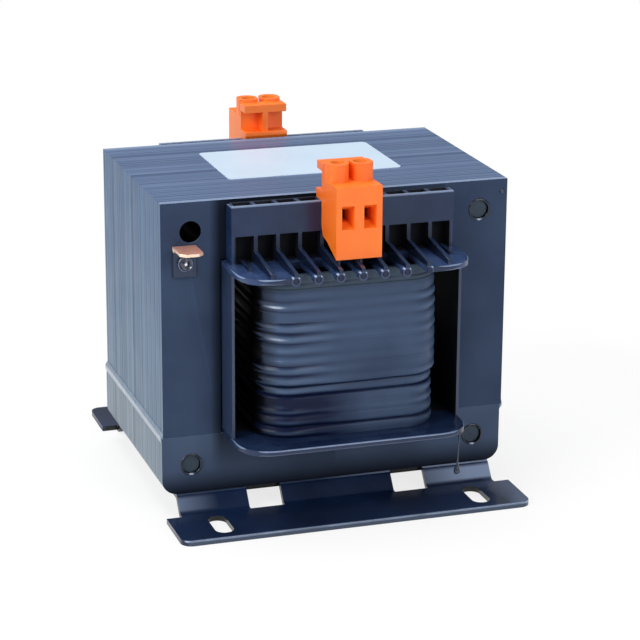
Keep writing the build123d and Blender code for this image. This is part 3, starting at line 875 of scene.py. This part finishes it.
def enamelled_copper():
    finish = new_finish("enamelled_copper", 0.35, metal=0.6)
    links = {"Vector": place_on(finish), "Scale": copper_bands}
    turns = add_node(finish.node_tree, "ShaderNodeTexWave", links, bands_direction="Z").outputs["Fac"]
    set_colour(finish, mix_paint(turns, *copper_paints))
    set_bump(finish, turns, 0.0004)
    return finish


def paint_cad_piece(node, finish):
    """Gives a CAD piece, whose shape is shown as it is, its finish."""
    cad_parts[node].data.materials.clear()
    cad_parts[node].data.materials.append(finish)


copper_finish = enamelled_copper()
film_finish = mottled(new_finish("layer_film", 0.45), 90.0, film_paints)
lead_finish = mottled(new_finish("lead_varnish", 0.3, coat=0.5), 500.0, lead_paints)
paint_cad_piece("interlayer_insulation", film_finish)
for winding in ("primary", "secondary"):
    paint_cad_piece(winding + "_winding", copper_finish)
    paint_cad_piece(winding + "_leads", lead_finish)

# The two-pole clamp blocks: orange mouldings that hook over the pocket wall, front and back.
# Each has two towers with a round well for the screw, and two funnels that guide the wires.
block_rounding = 0.0002
well_x = 0.003
well_y = 0.0408
well_radius = 0.002
well_dark = 0.0036
well_light = 0.0010
block_low, block_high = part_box("front_terminal_housing")
orange_paints = ((255, 112, 22), (255, 128, 36))
lit_well_paint = (255, 146, 56)


def light_in_wells(finish):
    """A share that grows from the dark of each screw well to its mouth."""
    place = parts_of(place_on(finish))
    outwards = rest_of(both(above(place["Y"], 0.0), 2.0))
    across = worked("MULTIPLY", place["X"], outwards)
    from_middle = size_of(worked("SUBTRACT", across, (block_low[0] + block_high[0]) / 2))
    off_x = worked("SUBTRACT", from_middle, well_x)
    off_y = worked("SUBTRACT", size_of(place["Y"]), well_y)
    off = add_node(finish.node_tree, "ShaderNodeCombineXYZ", {"X": off_x, "Y": off_y}).outputs[0]
    in_well = spread(from_point(off), well_radius, well_radius - 0.00005)
    return both(in_well, spread(place["Z"], block_high[2] - well_dark, block_high[2] - well_light))


def orange_moulding():
    finish = new_finish("orange_moulding", 0.45, coat=0.12, coat_roughness=0.2)
    tone = spread(mottle(finish, 70.0, 2.0), 0.3, 0.7)
    colour = mix_paint(tone, *orange_paints)
    set_colour(finish, mix_paint(light_in_wells(finish), colour, lit_well_paint))
    set_bump(finish, mottle(finish, 900.0, 2.0), 0.00006, 0.4)
    shader_input(finish, "Subsurface Weight").default_value = 0.15
    shader_input(finish, "Subsurface Radius").default_value = (0.002, 0.0008, 0.0003)
    return finish


orange_finish = orange_moulding()
for node in ("front_terminal_housing", "rear_terminal_housing"):
    dipped(node, cad_copy(node), block_rounding, orange_finish)

# The clamp inside each pole: a plated cage, a slotted screw and a tinned strip down to the pocket.
# All are hidden but for what shows through the wells and the wire holes.
cage_paints = ((150, 150, 146), (188, 188, 184))
screw_paints = ((176, 176, 168), (214, 214, 206))
strip_paints = ((178, 164, 134), (208, 198, 172))
cage_finish = mottled(new_finish("plated_cage", 0.32, metal=0.9), 700.0, cage_paints)
screw_finish = mottled(new_finish("plated_screw", 0.25, metal=0.95), 900.0, screw_paints)
strip_finish = mottled(new_finish("tinned_strip", 0.3, metal=0.85), 800.0, strip_paints)
for side in ("front", "rear"):
    paint_cad_piece(side + "_clamp_cages", cage_finish)
    paint_cad_piece(side + "_terminal_screws", screw_finish)
    paint_cad_piece(side + "_contact_strips", strip_finish)

# The earth tab: a bent blade under the open corner hole, held by one rolled rivet.
# Its blade was masked from the dip and shows copper, and its foot is varnished to the core.
# The outline of the rivet is in millimetres, each radius with its reach from the back.
tab_rounding = 0.00015
tab_low, tab_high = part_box("earth_tab")
rivet_low, rivet_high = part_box("earth_rivet")
rivet_centre = (Vector(rivet_low) + Vector(rivet_high)) / 2
rivet_shank = ((0.0, 0.0), (1.45, 0.0), (1.45, 6.8), (2.15, 6.8), (2.15, 7.42))
rivet_roll = ((2.02, 7.68), (1.82, 7.78), (1.64, 7.64), (1.5, 7.42), (1.32, 7.34), (1.12, 7.4))
rivet_middle = ((0.9, 7.56), (0.6, 7.7), (0.3, 7.78), (0.0, 7.8))
rivet_ring = 0.00188
rivet_glint = 0.00035
blade_paints = ((196, 128, 112), (232, 178, 160))
blade_edge_highlight_paint = (255, 226, 200)
tab_foot_paint = (36, 50, 76)
rivet_paints = ((18, 28, 52), (40, 50, 74))
rivet_ring_highlight_paint = (72, 88, 118)
rivet_glint_paint = (245, 245, 250)


def tab_copper():
    """Bare copper on the blade, with a painted highlight on its edges, and varnish on the foot."""
    finish = new_finish("tab_copper", 0.3, coat=0.2, metal=0.35)
    height = parts_of(place_on(finish))["Z"]
    uneven_height = worked("ADD", height, both(mottle(finish, 700.0), 0.0012))
    bare = spread(uneven_height, tab_high[2] - 0.0011, tab_high[2] - 0.0004)
    copper = mix_paint(mottle(finish, 500.0), *blade_paints)
    # A painted highlight on the edges of the blade.
    edge_face = spread(facing(finish)["Z"], 0.9, 0.5)
    copper = mix_paint(edge_face, copper, blade_edge_highlight_paint)
    set_colour(finish, mix_paint(bare, tab_foot_paint, copper))
    set_bump(finish, mottle(finish, 900.0), 0.0001)
    return finish


def rivet_varnish():
    """Glossy varnish, with a painted highlight ring on the roll and a painted glint in the middle."""
    finish = new_finish("rivet_varnish", 0.16, coat=1.0, coat_roughness=0.04)
    off = from_point(seen_from_front(finish), (rivet_centre.x, 0.0, rivet_centre.z))
    colour = mix_paint(mottle(finish, 700.0), *rivet_paints)
    # A painted highlight ring on the roll of the head.
    off_ring = size_of(worked("SUBTRACT", off, rivet_ring))
    colour = mix_paint(short_of(off_ring, 0.00015, 0.00014), colour, rivet_ring_highlight_paint)
    set_colour(finish, mix_paint(short_of(off, rivet_glint, 0.0002), colour, rivet_glint_paint))
    return finish


def turned_rivet():
    """Shank, flange and rolled head, turned lengthwise and put in their place."""
    shape = bmesh.new()
    outline = rivet_shank + rivet_roll + rivet_middle
    turned_body(shape, [(radius, -reach, 0) for radius, reach in outline], (0, 1, 0), 40)
    bmesh.ops.translate(shape, vec=(rivet_centre.x, rivet_high[1], rivet_centre.z), verts=shape.verts)
    return shape


dipped("earth_tab", cad_copy("earth_tab"), tab_rounding, tab_copper())
rivet = new_piece("turned_rivet", turned_rivet(), rivet_varnish())
smoothed(rivet, 50)
put_for(rivet, "earth_rivet")

# The rating label: a white sticker on the top of the core, stuck on after the dip.
# It is left bare.
label_paints = ((188, 208, 228), (204, 223, 240))
label_finish = new_finish("label_white", 0.4, coat=0.15, coat_roughness=0.15)
paint_cad_piece("rating_label", mottled(label_finish, 60.0, label_paints))

# The feet: two folded steel sheets welded under the core, each with two windows and two slots.
# Varnish leaves them dark navy. They are paler at one end of the plate, with a painted sheen along
# the slope near both ends, painted highlight lines along the upper fold and the front edge, and
# painted shade on the walls of the slots and windows.
foot_rounding = 0.0004
slope_out = 0.0361
slope_low = 0.0021
slope_high = 0.00505
slope_middle = -0.0045
plate_front = 0.0538
plate_corner = 0.0532
plate_skin = 0.0524
end_skin = 0.0478
line_height = 0.00105
fold_behind = 0.0312
fold_height = 0.00561
foot_paints = ((14, 28, 54), (28, 46, 82))
pale_end_paint = (84, 100, 130)
sheen_paint = (140, 158, 190)
plate_edge_paint = (58, 71, 92)
plate_highlight_paint = (156, 172, 202)
slot_wall_shade_paint = (3, 5, 9)
fold_highlight_paints = ((58, 72, 98), (150, 166, 194))


def slope_sheen(finish):
    """A painted sheen along the slope, stronger towards both of its ends."""
    across, depth, height = reach_on(finish)
    on_slope = both(short_of(depth, slope_out, 0.0006), past(height, slope_low, 0.0006))
    below_fold = short_of(height, slope_high, 0.0007)
    from_middle = worked("SUBTRACT", parts_of(place_on(finish))["X"], slope_middle)
    right_end = spread(from_middle, 0.0200, 0.0420)
    left_end = both(spread(from_middle, -0.0290, -0.0470), 0.7)
    return both(on_slope, below_fold, either(right_end, left_end))


def foot_edge_paint(finish, colour):
    """The front edge with a painted highlight line, the walls of slots and windows in painted shade, and a painted
    highlight on the fold.
    """
    across, depth, height = reach_on(finish)
    front_edge = past(depth, plate_front, 0.0004)
    colour = mix_paint(front_edge, colour, plate_edge_paint)
    # A painted highlight line along the rounded front edge, broken up unevenly.
    corner_highlight = both(rounded_edge(finish), past(depth, plate_corner, 0.0004))
    uneven_edge_highlight = both(front_edge, spread(mottle(finish, 160.0), 0.1, 1.1))
    line = both(either(corner_highlight, uneven_edge_highlight), past(height, line_height, 0.00014))
    colour = mix_paint(line, colour, plate_highlight_paint)
    # Painted shade: the walls of the slots and windows are painted near black.
    wall = spread(size_of(facing(finish)["Z"]), 0.5, 0.2)
    wall = both(wall, short_of(depth, plate_skin, 0.0004), short_of(across, end_skin, 0.0004))
    colour = mix_paint(wall, colour, slot_wall_shade_paint)
    # A painted highlight along the upper fold, paler towards the right.
    along = spread(parts_of(place_on(finish))["X"], -0.005, 0.020)
    fold = both(above(depth, fold_behind), past(height, fold_height, 0.0001))
    return mix_paint(fold, colour, mix_paint(along, *fold_highlight_paints))


def foot_varnish():
    finish = new_finish("foot_varnish", 0.26, coat=0.2, shine=0.3)
    tone = spread(mottle(finish, 45.0, 4.0), 0.35, 0.75)
    colour = mix_paint(tone, *foot_paints)
    uneven_x = worked("ADD", parts_of(place_on(finish))["X"], both(mottle(finish, 90.0), 0.006))
    pale_end = spread(uneven_x, 0.044, 0.0495)
    colour = mix_paint(both(pale_end, 0.8), colour, pale_end_paint)
    colour = mix_paint(slope_sheen(finish), colour, sheen_paint)
    set_colour(finish, foot_edge_paint(finish, colour))
    set_bump(finish, mottle(finish, 150.0), 0.0004, 0.3)
    return finish


foot_finish = foot_varnish()
for node in ("front_foot", "rear_foot"):
    dipped(node, cad_copy(node), foot_rounding, foot_finish)
paint_cad_piece("foot_welds", pin_finish)

# The floor: one pale sheet that takes the object's shadow and is white farther out, where the
# camera and shiny surfaces see it.
floor_half = 3.0
floor_grey = (0.93, 0.93, 0.93, 1.0)
shadow_reach = 0.07
white_from = 0.16
least_white = 0.78


def pale_floor():
    finish = bpy.data.materials.new("pale_floor")
    finish.use_nodes = True
    tree = finish.node_tree
    shader_input(finish, "Base Color").default_value = floor_grey
    shader_input(finish, "Roughness").default_value = 0.9
    shader_input(finish, "Specular IOR Level").default_value = 0.0
    white = add_node(tree, "ShaderNodeEmission", {"Color": (1, 1, 1, 1), "Strength": 1.0}).outputs[0]
    away = from_point(place_on(finish))
    rays = add_node(tree, "ShaderNodeLightPath").outputs
    seen = either(either(rays["Is Camera Ray"], rays["Is Glossy Ray"]), rays["Is Transmission Ray"])
    amount = both(either(spread(away, shadow_reach, white_from), least_white), seen)
    plain = tree.nodes["Principled BSDF"].outputs[0]
    joined = add_node(tree, "ShaderNodeMixShader", {0: amount, 1: plain, 2: white}).outputs[0]
    tree.links.new(joined, tree.nodes["Material Output"].inputs["Surface"])
    return finish


floor_shape = bmesh.new()
bmesh.ops.create_grid(floor_shape, x_segments=1, y_segments=1, size=floor_half)
floor_mesh = bpy.data.meshes.new("floor")
floor_shape.to_mesh(floor_mesh)
floor_shape.free()
floor_mesh.materials.append(pale_floor())
floor = bpy.data.objects.new("floor", floor_mesh)
bpy.context.scene.collection.objects.link(floor)

# The studio: a room that is white to the camera and dim to the object, and three soft lamps.
# They stand to the left, above and to the front right.
room_glow = 0.3

room = bpy.data.worlds.new("studio")
bpy.context.scene.world = room
room.use_nodes = True
rays = add_node(room.node_tree, "ShaderNodeLightPath").outputs
seen = either(rays["Is Camera Ray"], rays["Is Transmission Ray"])
glow = add_node(room.node_tree, "ShaderNodeMapRange", {"Value": seen, "To Min": room_glow})
background = room.node_tree.nodes["Background"]
background.inputs["Color"].default_value = (1, 1, 1, 1)
room.node_tree.links.new(glow.outputs["Result"], background.inputs["Strength"])


def soft_lamp(name, place, aim_height, size, power):
    """A square lamp that points at the object's middle, at the given height."""
    lamp = bpy.data.lights.new(name, "AREA")
    lamp.shape = "SQUARE"
    lamp.size = size
    lamp.energy = power
    stand = bpy.data.objects.new(name, lamp)
    aim = Vector((0, 0, aim_height)) - Vector(place)
    stand.matrix_world = Matrix.Translation(place) @ aim.to_track_quat("-Z", "Y").to_matrix().to_4x4()
    bpy.context.scene.collection.objects.link(stand)


soft_lamp("left_lamp", (-0.75, -0.25, 0.55), 0.05, 0.5, 5.0)
soft_lamp("top_lamp", (-0.05, 0.15, 0.9), 0.05, 0.6, 5.2)
soft_lamp("front_lamp", (0.35, -0.85, 0.45), 0.04, 0.5, 3.0)

# The camera: a long lens to the front left and a little above, as the photograph was taken.
# It is turned and raised as given, and leans a third of a degree.
turn, rise, lean = radians(-18.116), radians(17.441), radians(0.365)
camera_place = (-0.19393, -0.6106, 0.24225)
sensor_width = 36.0
picture_width = 640.0
focal_pixels = 2400.9

back = Vector((sin(turn) * cos(rise), -cos(turn) * cos(rise), sin(rise)))
right = Vector((cos(turn), sin(turn), 0.0))
up = back.cross(right)
leaned_right = cos(lean) * right + sin(lean) * up
leaned_up = -sin(lean) * right + cos(lean) * up
lens = bpy.data.cameras.new("camera")
lens.sensor_width = sensor_width
lens.lens = focal_pixels * sensor_width / picture_width
camera = bpy.data.objects.new("camera", lens)
stance = Matrix((leaned_right, leaned_up, back)).transposed().to_4x4()
camera.matrix_world = Matrix.Translation(camera_place) @ stance
bpy.context.scene.collection.objects.link(camera)
bpy.context.scene.camera = camera
bpy.context.scene.view_settings.view_transform = "Standard"
